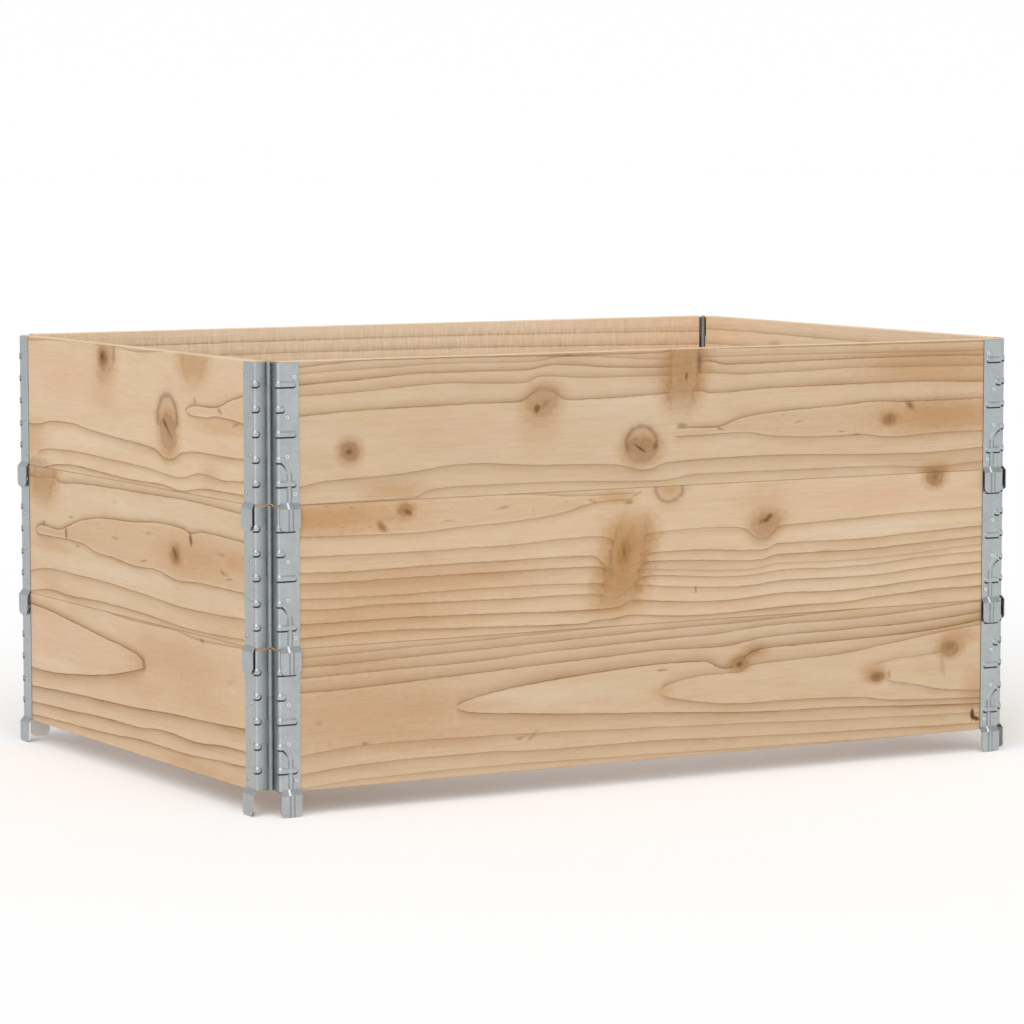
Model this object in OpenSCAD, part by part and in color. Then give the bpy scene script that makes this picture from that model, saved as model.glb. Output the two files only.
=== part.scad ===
// Folding wooden pallet collars, three in a stack.
// Each collar has four boards, a pressed hinge plate nailed round each end, and a pin at each inner corner.
// The plates' tabs hang below a collar and overlap the outside of the one under it.
// The origin is at the middle of the stack, on the plane of the lowest tab tips. +X is along the long boards.

/* [Boards] */
// Length of a long board
long_board = 1200; // [600:10:1600]
// Length of a short board
short_board = 800; // [400:10:1200]
// Height of a board, which is the height of one collar
board_h = 195; // [180:5:300]
// Thickness of a board
board_t = 18; // [16:0.5:25]
// Chamfer along a board's long edges
edge_chamfer = 0.8; // [0.3:0.1:2]

/* [Hinge plates] */
// Thickness of the sheet steel
plate_t = 1.5; // [1:0.1:2]
// Width of the flange on a board's outer face, from the plate's outer corner
flange_w = 32; // [30:0.5:45]
// Outer radius of the bend round a board's end
bend_r = 3.5; // [2.5:0.1:5]
// Distance from a board's top and bottom edges to the plate's
plate_inset = 1.8; // [1.5:0.1:4]

/* [Knuckles and pins] */
// Diameter of a hinge pin
pin_d = 4.5; // [4:0.1:6]
// Gap between a pin and a knuckle, all round
pin_gap = 0.08; // [0.03:0.01:0.1]
// Distance from a pin's axis to the inner faces of the boards
pin_offset = 1.7; // [1.6:0.1:4]
// Number of knuckles in a hinge
knuckle_count = 6; // [4:2:8]
// Gap between neighbouring knuckles
knuckle_gap = 0.4; // [0.2:0.1:1]
// Gap between a knuckle and the plate that turns round it
notch_gap = 0.4; // [0.3:0.1:1]
// Diameter of a pin's head
head_d = 7; // [6.5:0.1:9]
// Height of a pin's head
head_h = 2.6; // [1:0.1:2.8]

/* [Ribs] */
// Width of a level rib
rib_w = 10.4; // [8:0.2:12]
// Height of a level rib above the plate
rib_h = 1.2; // [0.9:0.1:1.8]
// Width of a rib's sloping side
rib_slope = 2.6; // [0.6:0.1:2.8]
// Distance between level ribs, counted from the middle one
rib_pitch = 33.6; // [26:0.2:36]
// Depth of the middle rib below the middle of the board's height
rib_drop = 1.2; // [0:0.1:3]
// Distance from a long rib's end to the flange's edge
rib_margin = 3.5; // [2:0.5:8]
// Straight length of the short rib on a long board's flange
bump_run = 3; // [1:0.5:8]
// Straight length of each rib on the end flange, and on the flange of a short board
wrap_run = 0.5; // [0.2:0.1:4]
// Width of the curled rib
curl_w = 8.8; // [6:0.2:10]
// Height of the curled rib above the plate
curl_h = 1; // [0.6:0.1:1.6]
// Distance from the plate's outer corner to the middle of the curled rib's upright
curl_x = 17; // [14:0.5:20]
// Radius of the curled rib's arc
curl_r = 24; // [20:0.5:30]
// Depth below the middle of the board's height where the curled rib leaves the bend
curl_drop = 36; // [30:1:44]

/* [Tabs] */
// Depth of a tab below its board
tab_drop = 34; // [25:1:60]
// Width of a tab
tab_w = 31.5; // [28:0.5:32]
// Step of a tab outwards from its flange
tab_step = 5; // [4:0.5:8]
// Height of the sloping step
step_h = 8; // [6:0.5:12]
// Radius of a tab's lower corners
tab_corner_r = 8; // [3:0.5:12]

/* [Nails] */
// Diameter of a nail's head
nail_head_d = 6.2; // [5:0.1:6.4]
// Height of a nail's head
nail_head_h = 1; // [0.7:0.1:1.5]
// Width of the rim round the cup in a nail's head
nail_rim = 1; // [0.5:0.1:1.2]
// Depth of the cup in a nail's head
nail_cup = 0.6; // [0.3:0.1:0.6]
// Diameter of a nail's shank
nail_d = 2.8; // [2:0.1:3.5]
// Length of a nail below its head
nail_len = 15; // [10:0.5:17]
// Length of a nail's point
nail_point = 3; // [1:0.5:5]
// Gap between a nail and its hole, all round
nail_gap = 0.1; // [0.05:0.01:0.2]
// Distance from the plate's upper edge to the highest nail
nail_top_inset = 19.5; // [12:0.5:20]
// Distance from the flange's lower edge, tab left out, to the lowest nail
nail_low_inset = 14; // [10:0.5:18]
// Distance from the plate's outer corner to the highest and the lowest nail
nail_far_x = 25.2; // [25:0.1:28]
// Distance from the plate's outer corner to the inner nails
nail_near_x = 14; // [12:0.1:18]
// Height of the upper inner nail above the middle of the board's height
nail_up = 22; // [18:0.5:26]
// Depth of the lower inner nail below the middle of the board's height
nail_down = 31; // [18:0.5:31]

/* [Hidden] */
$fn = 48;
COLLARS = ["bottom", "middle", "top"];
SIDES = ["front", "right", "back", "left"];
CORNERS = ["front_left", "front_right", "back_right", "back_left"];
LAST_SIDE = len(SIDES) - 1;
WOOD = [0.83, 0.68, 0.49];
STEEL = [0.69, 0.71, 0.72];
BRIGHT_STEEL = [0.62, 0.63, 0.64];

// A knuckle is the sheet rolled round the pin, and the end flange leads into it just clear of the bore
bore_r = pin_d / 2 + pin_gap;
barrel_r = bore_r + plate_t;
roll_lead = 0.1;
end_gap = bore_r + roll_lead;
board_end = end_gap + plate_t;
board_face = pin_offset + board_t;
plate_face = board_face + plate_t;
tab_face = plate_face + tab_step;
end_chamfer = bend_r - plate_t;
long_pitch = long_board + 2 * board_end;
short_pitch = short_board + 2 * board_end;

// Heights above the lower edge of a board
plate_bottom = plate_inset;
plate_top = board_h - plate_inset;
plate_h = plate_top - plate_bottom;
middle = board_h / 2;
middle_rib = middle - rib_drop;
knuckle_pitch = plate_h / knuckle_count;
step_top = step_h / 2;
step_bottom = -step_h / 2;
step_angle = atan(tab_step / step_h);
step_lag = plate_t * tan(step_angle / 2);

// Places along a board from the pin's axis
flange_start = end_gap + bend_r;
flange_end = end_gap + flange_w;
tab_start = end_gap + (flange_w - tab_w) / 2;
tab_end = tab_start + tab_w;
curl_mid = end_gap + curl_x;
curl_z = middle - curl_drop;

// A cut runs past what it cuts, and a rib is rooted in its plate
over = 1;
rib_root = 0.4;
mitre_room = 3;
pin_seat = 0.05;

nail_spots = [
    [nail_far_x, plate_top - nail_top_inset],
    [nail_near_x, middle + nail_up],
    [nail_near_x, middle - nail_down],
    [nail_far_x, plate_bottom + nail_low_inset]
];

function before(side) = (side + LAST_SIDE) % len(SIDES);
function after(side) = (side + 1) % len(SIDES);
function is_long(side) = side % 2 == 0;
function pitch(side) = is_long(side) ? long_pitch : short_pitch;
function depth(side) = is_long(side) ? short_pitch : long_pitch;
function board_len(side) = pitch(side) - 2 * board_end;
function prefix(level, side) = str(COLLARS[level], "_", SIDES[side]);
function board_name(level, side) = str(prefix(level, side), "_board");
function nails_name(level, side) = str(prefix(level, side), "_nails");
function leaf_name(level, side, end) = str(prefix(level, side), "_leaf_", SIDES[end]);
function pin_name(level, corner) = str(COLLARS[level], "_pin_", CORNERS[corner]);

// Puts a piece on one side of one collar: along X, with the outer face towards -Y and the pins' axes at Y = 0
module at_side(level, side) {
    translate([0, 0, tab_drop + level * board_h])
        rotate(90 * side)
            translate([0, -depth(side) / 2, 0])
                children();
}

// Puts a piece at the left end of a board, seen from outside, or mirrors it to the right end
module at_end(side, right) {
    mirror([right ? 1 : 0, 0, 0])
        translate([-pitch(side) / 2, 0, 0])
            children();
}

// Puts a nail or its hole, which runs along +Z, at each spot on both plates of a board
module at_nails(side) {
    for (right = [false, true])
        at_end(side, right)
            at_leaf_nails()
                children();
}

module at_leaf_nails() {
    for (spot = nail_spots)
        translate([end_gap + spot[0], -plate_face, spot[1]])
            rotate([-90, 0, 0])
                children();
}

// Outline of a board from above, with its upright end edges cut back inside the plates' bends
module board_plan(length) {
    x = length / 2;
    c = end_chamfer;
    polygon([
        [-x + c, -board_face], [x - c, -board_face], [x, -board_face + c], [x, -pin_offset - c],
        [x - c, -pin_offset], [-x + c, -pin_offset], [-x, -pin_offset - c], [-x, -board_face + c]
    ]);
}

// Section across a board, with its long edges eased
module board_section() {
    c = edge_chamfer;
    polygon([
        [-board_face + c, 0], [-pin_offset - c, 0], [-pin_offset, c], [-pin_offset, board_h - c],
        [-pin_offset - c, board_h], [-board_face + c, board_h], [-board_face, board_h - c], [-board_face, c]
    ]);
}

module board(side) {
    length = board_len(side);
    color(WOOD)
        difference() {
            intersection() {
                linear_extrude(board_h)
                    board_plan(length);
                rotate([90, 0, 90])
                    linear_extrude(length, center = true)
                        board_section();
            }
            at_nails(side)
                nail_hole();
        }
}

module nail_hole() {
    translate([0, 0, -over])
        cylinder(d = nail_d + 2 * nail_gap, h = over + nail_len + nail_gap);
}

// A nail under its cupped head, which sits on the plate at Z = 0
module nail() {
    top_d = nail_head_d - nail_head_h;
    difference() {
        translate([0, 0, -nail_head_h])
            cylinder(d1 = top_d, d2 = nail_head_d, h = nail_head_h);
        translate([0, 0, -nail_head_h - over])
            cylinder(d = top_d - 2 * nail_rim, h = over + nail_cup);
    }
    cylinder(d = nail_d, h = nail_len - nail_point);
    translate([0, 0, nail_len - nail_point])
        cylinder(d1 = nail_d, d2 = 0, h = nail_point);
}

module nails(side) {
    color(BRIGHT_STEEL)
        at_nails(side)
            nail();
}

// A hinge pin, dropped in from above until its head sits on the top knuckle
module pin() {
    dome_h = head_h / 2;
    dome_r = (dome_h * dome_h + head_d * head_d / 4) / (2 * dome_h);
    color(BRIGHT_STEEL) {
        translate([0, 0, plate_bottom])
            cylinder(d = pin_d, h = plate_h + pin_seat);
        translate([0, 0, plate_top + pin_seat])
            intersection() {
                cylinder(d = head_d, h = head_h);
                translate([0, 0, head_h - dome_r])
                    sphere(dome_r);
            }
    }
}

// Outline of the end flange and the bend from above
module end_flange_plan() {
    translate([end_gap, bend_r - plate_face])
        square([plate_t, plate_face - bend_r]);
    intersection() {
        translate([flange_start, bend_r - plate_face])
            difference() {
                circle(bend_r);
                circle(bend_r - plate_t);
            }
        translate([end_gap, -plate_face])
            square(bend_r);
    }
}

// Section down the flange, the step and the tab
module flange_section() {
    polygon([
        [-plate_face, plate_top], [-plate_face, step_top], [-tab_face, step_bottom], [-tab_face, -tab_drop],
        [-tab_face + plate_t, -tab_drop], [-tab_face + plate_t, step_bottom - step_lag],
        [-board_face, step_top - step_lag], [-board_face, plate_top]
    ]);
}

// Outline of the flange and the tab from the front: the tab widens below the bend and has round lower corners
module flange_outline() {
    translate([flange_start, step_top])
        square([flange_w - bend_r, plate_top - step_top]);
    polygon([
        [flange_start, step_top], [tab_end, step_top], [tab_end, step_bottom], [tab_start, step_bottom]
    ]);
    translate([tab_start, tab_corner_r - tab_drop])
        square([tab_w, tab_drop + step_bottom - tab_corner_r]);
    translate([tab_start + tab_corner_r, -tab_drop])
        square([tab_w - 2 * tab_corner_r, tab_corner_r]);
    for (x = [tab_start + tab_corner_r, tab_end - tab_corner_r])
        translate([x, tab_corner_r - tab_drop])
            circle(tab_corner_r);
}

module flange_and_tab() {
    intersection() {
        rotate([90, 0, 90])
            linear_extrude(flange_end + over)
                flange_section();
        rotate([90, 0, 0])
            linear_extrude(tab_face + over)
                flange_outline();
    }
}

// Section across a rib, with sloping sides and a flat top: X is across it and Y is out of the plate
module rib_section(w, h) {
    top_x = w / 2 - rib_slope;
    root_x = w / 2 + rib_slope * rib_root / h;
    polygon([[-root_x, -rib_root], [root_x, -rib_root], [top_x, h], [-top_x, h]]);
}

// A straight stretch of rib along +X, with Z out of the plate
module rib_run(w, h, length) {
    rotate([90, 0, 90])
        linear_extrude(length)
            rib_section(w, h);
}

// The round end of a rib that runs towards +X
module rib_end(w, h) {
    rotate(-90)
        rotate_extrude(angle = 180)
            intersection() {
                rib_section(w, h);
                translate([0, -over])
                    square([w, h + 2 * over]);
            }
}

module rib_run_with_end(w, h, length) {
    rib_run(w, h, length);
    translate([length, 0, 0])
        rib_end(w, h);
}

// Lays a rib on the flange, running away from the bend
module on_flange(x, z) {
    translate([x, -plate_face, z])
        rotate([90, 0, 0])
            children();
}

// The part of a level rib that goes round the bend and ends on the end flange
module rib_wrap(w, h, z) {
    translate([flange_start, bend_r - plate_face, z])
        rotate(180)
            rotate_extrude(angle = 90)
                translate([bend_r, 0])
                    rotate(-90)
                        rib_section(w, h);
    translate([end_gap, bend_r - plate_face, z])
        rotate([-90, 0, 90])
            rib_run_with_end(w, h, wrap_run);
}

module level_rib(z, run) {
    rib_wrap(rib_w, rib_h, z);
    on_flange(flange_start, z)
        rib_run_with_end(rib_w, rib_h, run);
}

// A half space that a mitre at a bend of the step leaves off, below or above the mitre's plane
module mitre_cut(y, z, below) {
    size = 2 * (curl_w + tab_step + step_h);
    translate([curl_mid, y, z])
        rotate([-step_angle / 2, 0, 0])
            translate([-size / 2, -size / 2, below ? -size : 0])
                cube(size);
}

// A stretch of the curled rib's upright that starts above a point and runs down, tilted outwards
module upright_run(y, z, tilt, length) {
    translate([curl_mid, y, z])
        rotate([180 - tilt, 0, 0])
            translate([0, 0, -mitre_room])
                linear_extrude(length + 2 * mitre_room)
                    rib_section(curl_w, curl_h);
}

// The rib that curls down from a short rib at the bend, over the step and on to the tab's lower edge
module curled_rib() {
    arc_x = curl_mid - curl_r;
    arc_start = flange_start + wrap_run / 2;
    upright_top = curl_z - sqrt(curl_r * curl_r - (arc_start - arc_x) * (arc_start - arc_x));
    step_length = sqrt(tab_step * tab_step + step_h * step_h);
    intersection() {
        on_flange(arc_x, upright_top)
            rotate_extrude(angle = 90)
                translate([curl_r, 0])
                    rib_section(curl_w, curl_h);
        translate([arc_start, -plate_face - curl_r, upright_top - curl_r])
            cube([2 * curl_r, 2 * curl_r, 3 * curl_r]);
    }
    difference() {
        translate([curl_mid, -plate_face, upright_top])
            rotate([180, 0, 0])
                linear_extrude(upright_top - step_top + mitre_room)
                    rib_section(curl_w, curl_h);
        mitre_cut(-plate_face, step_top, true);
    }
    difference() {
        upright_run(-plate_face, step_top, step_angle, step_length);
        mitre_cut(-plate_face, step_top, false);
        mitre_cut(-tab_face, step_bottom, true);
    }
    difference() {
        translate([curl_mid, -tab_face, -tab_drop])
            linear_extrude(tab_drop + step_bottom + mitre_room)
                rotate(180)
                    rib_section(curl_w, curl_h);
        mitre_cut(-tab_face, step_bottom, false);
    }
}

// A plate on a short board has its ribs only round the bend
module ribs(on_long) {
    long_run = flange_w - bend_r - rib_w / 2 - rib_margin;
    for (step = [2, 0, -2])
        level_rib(middle_rib + step * rib_pitch, on_long ? long_run : wrap_run);
    level_rib(middle_rib + rib_pitch, on_long ? bump_run : wrap_run);
    level_rib(curl_z, wrap_run);
    if (on_long) curled_rib();
}

// Height of a knuckle's lower end, counting knuckles from the top
function knuckle_z(k) = plate_top - (k + 1) * knuckle_pitch + knuckle_gap / 2;

module knuckle(k) {
    translate([0, 0, knuckle_z(k)])
        cylinder(r = barrel_r, h = knuckle_pitch - knuckle_gap);
}

// Room in the end flange for a knuckle of the other plate
module knuckle_notch(k) {
    turn_r = barrel_r + notch_gap;
    room = sqrt(turn_r * turn_r - end_gap * end_gap);
    translate([end_gap - over, -room, knuckle_z(k) - knuckle_gap])
        cube([plate_t + 2 * over, room + over, knuckle_pitch + knuckle_gap]);
}

// A hinge plate at the left end of a board, with every other knuckle from the given one on
module leaf(first, on_long) {
    other = 1 - first;
    color(STEEL)
        difference() {
            union() {
                translate([0, 0, plate_bottom])
                    linear_extrude(plate_h)
                        end_flange_plan();
                flange_and_tab();
                ribs(on_long);
                for (k = [first : 2 : knuckle_count - 1])
                    knuckle(k);
            }
            for (k = [other : 2 : knuckle_count - 1])
                knuckle_notch(k);
            translate([0, 0, plate_bottom - over])
                cylinder(r = bore_r, h = plate_h + 2 * over);
            at_leaf_nails()
                nail_hole();
        }
}

for (level = [0 : len(COLLARS) - 1])
    for (side = [0 : LAST_SIDE])
        at_side(level, side) {
            board(side);
            nails(side);
            at_end(side, false)
                    leaf(1, is_long(side));
            at_end(side, true)
                    leaf(0, is_long(side));
            at_end(side, false) pin();
        }
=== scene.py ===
import math
from dataclasses import dataclass, field

import bpy
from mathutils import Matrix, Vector


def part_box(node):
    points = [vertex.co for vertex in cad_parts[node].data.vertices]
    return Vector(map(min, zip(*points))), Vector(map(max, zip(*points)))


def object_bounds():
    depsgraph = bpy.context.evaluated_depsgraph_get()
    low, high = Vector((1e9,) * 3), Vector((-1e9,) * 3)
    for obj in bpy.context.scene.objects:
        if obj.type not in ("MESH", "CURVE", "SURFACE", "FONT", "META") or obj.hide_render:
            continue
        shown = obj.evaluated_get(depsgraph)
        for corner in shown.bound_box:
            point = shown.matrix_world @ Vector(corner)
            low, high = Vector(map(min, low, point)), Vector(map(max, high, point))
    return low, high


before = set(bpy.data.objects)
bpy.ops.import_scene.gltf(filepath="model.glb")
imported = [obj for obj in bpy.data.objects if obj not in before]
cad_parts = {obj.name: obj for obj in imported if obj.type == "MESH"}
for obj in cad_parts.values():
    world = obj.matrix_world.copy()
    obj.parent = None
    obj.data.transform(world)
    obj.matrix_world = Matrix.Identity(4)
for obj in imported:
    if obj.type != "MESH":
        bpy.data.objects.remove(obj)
cad_low, cad_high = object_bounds()

MM_PER_M = 1000
SIDES = ("front", "right", "back", "left")
LONG_SIDES = ("front", "back")
LEVELS = ("bottom", "middle", "top")


# Shader arithmetic

class Num:
    """A number that a shader works out at each point of a surface."""

    def __init__(self, graph, socket):
        self.graph = graph
        self.socket = socket

    def __add__(self, other):
        return self.graph.math("ADD", self, other)

    def __radd__(self, other):
        return self.graph.math("ADD", other, self)

    def __sub__(self, other):
        return self.graph.math("SUBTRACT", self, other)

    def __rsub__(self, other):
        return self.graph.math("SUBTRACT", other, self)

    def __mul__(self, other):
        return self.graph.math("MULTIPLY", self, other)

    def __rmul__(self, other):
        return self.graph.math("MULTIPLY", other, self)

    def __truediv__(self, other):
        return self.graph.math("DIVIDE", self, other)


class Graph:
    """Adds nodes to one material's tree. An input takes a Num, a colour socket or a plain value."""

    def __init__(self, tree):
        self.tree = tree

    def add(self, kind, **settings):
        node = self.tree.nodes.new("ShaderNode" + kind)
        for name, value in settings.items():
            setattr(node, name, value)
        return node

    def feed(self, socket, value):
        if isinstance(value, Num):
            value = value.socket
        if isinstance(value, bpy.types.NodeSocket):
            self.tree.links.new(value, socket)
        else:
            socket.default_value = value

    def math(self, operation, *values):
        node = self.add("Math", operation=operation)
        for socket, value in zip(node.inputs, values):
            self.feed(socket, value)
        return Num(self, node.outputs[0])

    def root(self, value):
        return self.math("SQRT", value)

    def smooth(self, value, start, end):
        """0 where value is at start and 1 where it is at end, with a soft change between."""
        node = self.add("MapRange", interpolation_type="SMOOTHSTEP")
        self.feed(node.inputs["Value"], value)
        node.inputs["From Min"].default_value = start
        node.inputs["From Max"].default_value = end
        return Num(self, node.outputs["Result"])

    def profile(self, value, stops):
        """A number read off a line through (position, number) stops, all from 0 to 1."""
        node = self.add("ValToRGB")
        ramp = node.color_ramp
        while len(ramp.elements) < len(stops):
            ramp.elements.new(1)
        for element, (position, level) in zip(ramp.elements, stops):
            element.position = position
            element.color = (level, level, level, 1)
        self.feed(node.inputs["Fac"], value)
        return Num(self, node.outputs["Color"])

    def curve(self, value, points):
        """A number read off a smooth curve through (position, number) points, all from 0 to 1."""
        node = self.add("FloatCurve")
        spots = node.mapping.curves[0].points
        for _ in points[2:]:
            spots.new(0.5, 0.5)
        for spot, point in zip(spots, points):
            spot.location = point
            spot.handle_type = "AUTO_CLAMPED"
        node.mapping.update()
        self.feed(node.inputs["Value"], value)
        return Num(self, node.outputs[0])

    def vector(self, *parts):
        node = self.add("CombineXYZ")
        for socket, value in zip(node.inputs, parts):
            self.feed(socket, value)
        return node.outputs[0]

    def noise(self, parts, detail, roughness):
        """Soft noise about 0, from -1 to 1, with features about one unit apart."""
        node = self.add("TexNoise")
        self.feed(node.inputs["Vector"], self.vector(*parts))
        node.inputs["Scale"].default_value = 1
        node.inputs["Detail"].default_value = detail
        node.inputs["Roughness"].default_value = roughness
        return Num(self, node.outputs["Fac"]) * 2 - 1

    def cells(self, parts):
        """A random number from 0 to 1 for each cell about one unit wide."""
        node = self.add("TexVoronoi")
        self.feed(node.inputs["Vector"], self.vector(*parts))
        node.inputs["Scale"].default_value = 1
        split = self.add("SeparateColor")
        self.feed(split.inputs[0], node.outputs["Color"])
        return Num(self, split.outputs[0])

    def blend(self, amount, first, second, mode="MIX"):
        """The first colour where amount is 0 and the second where it is 1."""
        node = self.add("Mix", data_type="RGBA", blend_type=mode, clamp_factor=True)
        self.feed(node.inputs["Factor"], amount)
        colour_inputs = [socket for socket in node.inputs if socket.type == "RGBA"]
        self.feed(colour_inputs[0], first)
        self.feed(colour_inputs[1], second)
        return [socket for socket in node.outputs if socket.type == "RGBA"][0]

    def brighten(self, colour, factor):
        """The colour with every channel times factor."""
        return self.blend(1.0, colour, self.vector(factor, factor, factor), mode="MULTIPLY")

    def position(self):
        """Where the point is on the piece at rest, as three Nums in millimetres."""
        coordinates = self.add("TexCoord")
        split = self.add("SeparateXYZ")
        self.feed(split.inputs[0], coordinates.outputs["Object"])
        return [Num(self, socket) * MM_PER_M for socket in split.outputs]

    def facing(self):
        """The way the surface faces on the piece at rest, as three Nums from -1 to 1."""
        split = self.add("SeparateXYZ")
        self.feed(split.inputs[0], self.add("TexCoord").outputs["Normal"])
        return [Num(self, socket) for socket in split.outputs]


def srgb(red, green, blue):
    """A colour as a screen shows it, 0 to 255, turned to linear light with full alpha."""
    def linear(level):
        share = level / 255
        return share / 12.92 if share <= 0.04045 else ((share + 0.055) / 1.055) ** 2.4
    return (linear(red), linear(green), linear(blue), 1)


def new_material(name):
    """A material with its tree, its shader and the graph that feeds it."""
    material = bpy.data.materials.new(name)
    material.use_nodes = True
    shader = material.node_tree.nodes["Principled BSDF"]
    return material, shader, Graph(material.node_tree)


def add_relief(graph, shader, height, distance):
    """Raises the surface by distance, in metres, where height is 1."""
    bump = graph.add("Bump")
    bump.inputs["Distance"].default_value = distance
    bump.inputs["Strength"].default_value = 1
    graph.feed(bump.inputs["Height"], height)
    graph.feed(shader.inputs["Normal"], bump.outputs["Normal"])


# Wood

EARLYWOOD = srgb(204, 177, 146)
LATEWOOD = srgb(140, 98, 46)
HEARTWOOD = srgb(190, 154, 116)
PALEWOOD = srgb(213, 190, 163)
HALOWOOD = srgb(178, 134, 82)
KNOTWOOD = srgb(120, 78, 38)
CRACK = srgb(88, 51, 20)
# Partly darker end grain and partly painted shade at the board ends.
END_GRAIN_AND_SHADE = srgb(58, 55, 52)
SEAMWOOD = srgb(120, 84, 46)
TOP_FACE_PAINTED_LIGHT = srgb(232, 206, 172)
STRAWWOOD = srgb(202, 175, 132)
TINTS = {
    "warm": srgb(188, 149, 108),
    "orange": srgb(178, 130, 82),
    "rose": srgb(204, 168, 139),
    "pale": srgb(213, 191, 166),
}


@dataclass
class KnotKind:
    """How a kind of knot looks: its darkness from the pith outwards, and what it does to the wood around it.

    The tones are (place, darkness) stops, and the knot's edge is at one half of the scale.
    """

    tones: tuple
    halo: float
    hides: float
    uneven: float


SOLID_TONES = ((0.0, 0.9), (0.14, 0.82), (0.3, 0.64), (0.42, 0.62), (0.5, 0.42), (0.6, 0.15), (1.0, 0.0))
RING_TONES = ((0.0, 0.08), (0.36, 0.1), (0.43, 0.3), (0.48, 0.66), (0.53, 0.5), (0.6, 0.14), (0.74, 0.0))
CORE_TONES = ((0.0, 0.5), (0.2, 0.42), (0.38, 0.36), (0.46, 0.4), (0.53, 0.24), (0.62, 0.07), (1.0, 0.0))
SPIKE_TONES = ((0.0, 0.2), (0.2, 0.14), (0.36, 0.14), (0.45, 0.3), (0.52, 0.16), (0.64, 0.05), (1.0, 0.0))
KNOT_KINDS = {
    "solid": KnotKind(SOLID_TONES, halo=0.6, hides=1.0, uneven=0.3),
    "ring": KnotKind(RING_TONES, halo=0.15, hides=0.0, uneven=0.14),
    "loop": KnotKind(RING_TONES, halo=0.1, hides=0.0, uneven=0.12),
    "core": KnotKind(CORE_TONES, halo=0.55, hides=0.7, uneven=0.3),
    "spike": KnotKind(SPIKE_TONES, halo=0.55, hides=0.5, uneven=0.45),
}
KNOT_REACH = 2.0
LOOP_FADE = (-16, -4)
SPIKE_ENDS = (1.15, 0.35)
SPIKE_ROUNDING = 0.12

# Where a mark's edge starts and where the mark is full, as shares of its half size.
HALO_EDGE = (2.1, 0.9)
HIDING_EDGE = (1.05, 0.85)
CRACK_EDGE = (1.4, 0.2)
TINT_EDGE = (1.25, 0.1)
CRACK_UNEVEN = 0.7
TINT_UNEVEN = 0.3


@dataclass
class Noise:
    """An unevenness, by its size in millimetres: along, up and into a board, or in x, y and z."""

    size: tuple
    detail: float
    roughness: float = 0.5


RAGGED = Noise((17, 6, 30), 4, 0.6)
DRIFT = Noise((130, 30, 40), 2)
UNEVEN = Noise((9, 9, 30), 3)
FIBRE = Noise((38, 1.5, 1.5), 3, 0.6)
MOTTLE = Noise((42, 6, 12), 4, 0.65)
STREAK = Noise((300, 3.2, 5), 2)
SAW = Noise((2.8, 24, 30), 3, 0.7)
FLECK = Noise((13, 2.6, 4), 1)
GRIT = Noise((6, 1.3, 3), 2, 0.6)
HUE = Noise((70, 14, 30), 3)
RIPPLE = Noise((4.5, 16, 30), 4, 0.65)
SEED_STEP = 31.0

# Where an unevenness starts to show in the colours and where it shows in full.
HEART_EDGE = (0.0, 0.7)
PALE_EDGE = (0.0, -0.7)
ROSE_EDGE = (0.05, 0.5)
STRAW_EDGE = (-0.05, -0.5)
STREAK_EDGE = (0.05, 0.6)
FLECK_EDGE = (0.38, 0.62)

# How much of each unevenness shows in the colours and in the light that the wood gives back.
DRIFT_SHARE = 0.45
HUE_SHARE = 0.55
STREAK_SHARE = 0.12
FLECK_SHARE = 0.14
LENS_FLECKS = 4.5
FIBRE_LIGHT = 0.09
MOTTLE_LIGHT = 0.1
GRIT_LIGHT = 0.06
SAW_BETWEEN_LINES = 0.25
RIPPLE_SHARE = 0.4
RIPPLE_LEVEL = 0.95

# The wood's gloss, and its relief in metres with its parts.
WOOD_SPECULAR = 0.3
WOOD_ROUGHNESS = 0.68
FIBRE_ROUGHNESS = 0.06
LINE_GLOSS = 0.08
WOOD_RELIEF = 0.0002
LINE_HEIGHT = 0.5
FIBRE_HEIGHT = 0.3
SAW_HEIGHT = 0.2
CRACK_DEPTH = 0.6

# A line's curve spans this length and height, and starts this far below the board.
LINE_LENGTH = 1250
LINE_SPAN = 240
LINE_BELOW = 20

# A line's darkness at places off it: millimetres, the share of the fade added to them, darkness.
LINE_MARKS = (
    (-1.1, 0, 0.0),
    (-0.4, 0, 0.85),
    (0.4, 0, 1.15),
    (1.4, 0, 0.66),
    (2.2, 0.25, 0.36),
    (4, 0.6, 0.13),
    (6, 1, 0.0),
)
LINE_LEVEL = 0.88
LINE_DRIFT = 0.25
LINE_MOTTLE = 0.4

# A line's shading is worked out from this far before it, over this reach.
LINE_LEAD = 4
LINE_REACH = 44
LINE_FADE_OUT = 4
LINE_FADE_IN = 8

# How far unevenness lifts the lines, and how far they rise for each millimetre into the board.
RAGGED_LIFT = 1.2
DRIFT_LIFT = 1.5
DEEP_RISE = 0.35

SWEPT_LENGTH = 1200
SWEPT_PARTS = 4

# Where the marks at a board's edges start and where they are full, in millimetres from the edge.
END_DARKENING = (3.5, 1.5)
RIM = (4, 2)
SEAM = (1.4, 0.5)
PLATE_COVER = (38, 33)
LENS_EDGE = 6
TOP_FACING = (0.4, 0.65)
RIM_SHARE = 0.8
SEAM_SHARE = 0.2
TOP_LIGHT_SHARE = 0.7

board_low, board_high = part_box("bottom_back_board")
BOARD_HEIGHT = (board_high[2] - board_low[2]) * MM_PER_M


@dataclass
class Line:
    """The dark edge of a growth ring through (along, up) points.

    It fades upwards, or downwards for a negative fade, and shows from start to end along the board.
    """

    fade: float
    dark: float
    points: tuple
    start: float = -100
    end: float = 1300


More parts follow.
